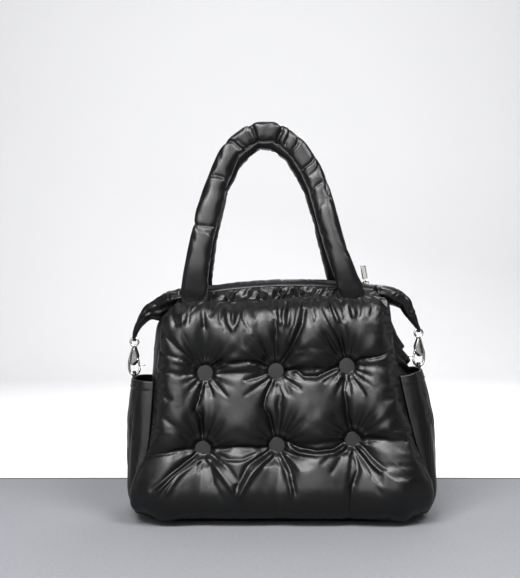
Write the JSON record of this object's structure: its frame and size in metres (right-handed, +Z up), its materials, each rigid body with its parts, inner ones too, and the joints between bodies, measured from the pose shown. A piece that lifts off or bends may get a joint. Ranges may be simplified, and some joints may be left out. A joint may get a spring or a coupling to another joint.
{
  "type": "padded tote bag",
  "caption": "Soft padded tote bag with a tufted, button-pulled front, slip pockets at the sides, a closed zip top and padded carrying handles, standing on a flat base.",
  "frame": {"origin": "middle of the base, on the surface the bag stands on", "axes": "+Z up, -Y out of the tufted front, +X to the right as seen from the front"},
  "size_m": [0.3736, 0.1869, 0.4768],
  "materials": {
    "nylon_shell": "black semi-gloss nylon",
    "button_cover": "black nylon, pulled smooth",
    "zip_tape": "matt black woven tape",
    "zip_coil": "black nylon coil",
    "polished_metal": "polished nickel plating"
  },
  "bodies": {
    "root": {"base_panel": "nylon_shell", "front_panel": "nylon_shell", "back_panel": "nylon_shell", "front_facing": "nylon_shell", "back_facing": "nylon_shell", "front_zip_band": "nylon_shell", "back_zip_band": "nylon_shell", "left_gusset": "nylon_shell", "right_gusset": "nylon_shell", "left_pocket": "nylon_shell", "right_pocket": "nylon_shell", "left_ear": "nylon_shell", "right_ear": "nylon_shell", "left_hook_loop": "nylon_shell", "right_hook_loop": "nylon_shell", "front_handle": "nylon_shell", "back_handle": "nylon_shell", "button_upper_left": "button_cover", "button_upper_middle": "button_cover", "button_upper_right": "button_cover", "button_lower_left": "button_cover", "button_lower_middle": "button_cover", "button_lower_right": "button_cover", "zip_tape": "zip_tape", "zip_chain": "zip_coil", "zip_slider": "polished_metal", "left_hook_eye": "polished_metal", "right_hook_eye": "polished_metal"},
    "zip_pull": {"zip_pull": "polished_metal"},
    "left_hook": {"left_hook_body": "polished_metal"},
    "left_gate": {"left_hook_gate": "polished_metal"},
    "right_hook": {"right_hook_body": "polished_metal"},
    "right_gate": {"right_hook_gate": "polished_metal"}
  },
  "joints": [
    {"name": "zip_pull_swing", "type": "hinge", "parent": "root", "child": "zip_pull", "pos_m": [0.10413, 0, 0.28116], "axis": [0, 1, 0], "range_deg": [-38, 70]},
    {"name": "left_hook_swivel", "type": "hinge", "parent": "root", "child": "left_hook", "pos_m": [-0.1796, 0, 0.199], "axis": [0, 0, 1], "range_deg": [-40, 40]},
    {"name": "left_gate_lever", "type": "hinge", "parent": "left_hook", "child": "left_gate", "pos_m": [-0.1754, 0, 0.1867], "axis": [0, 1, 0], "range_deg": [0, 25], "stiffness_Nm_per_rad": 0.02},
    {"name": "right_hook_swivel", "type": "hinge", "parent": "root", "child": "right_hook", "pos_m": [0.1686, 0, 0.21], "axis": [0, 0, 1], "range_deg": [-40, 40]},
    {"name": "right_gate_lever", "type": "hinge", "parent": "right_hook", "child": "right_gate", "pos_m": [0.1644, 0, 0.1977], "axis": [0, -1, 0], "range_deg": [0, 25], "stiffness_Nm_per_rad": 0.02}
  ]
}
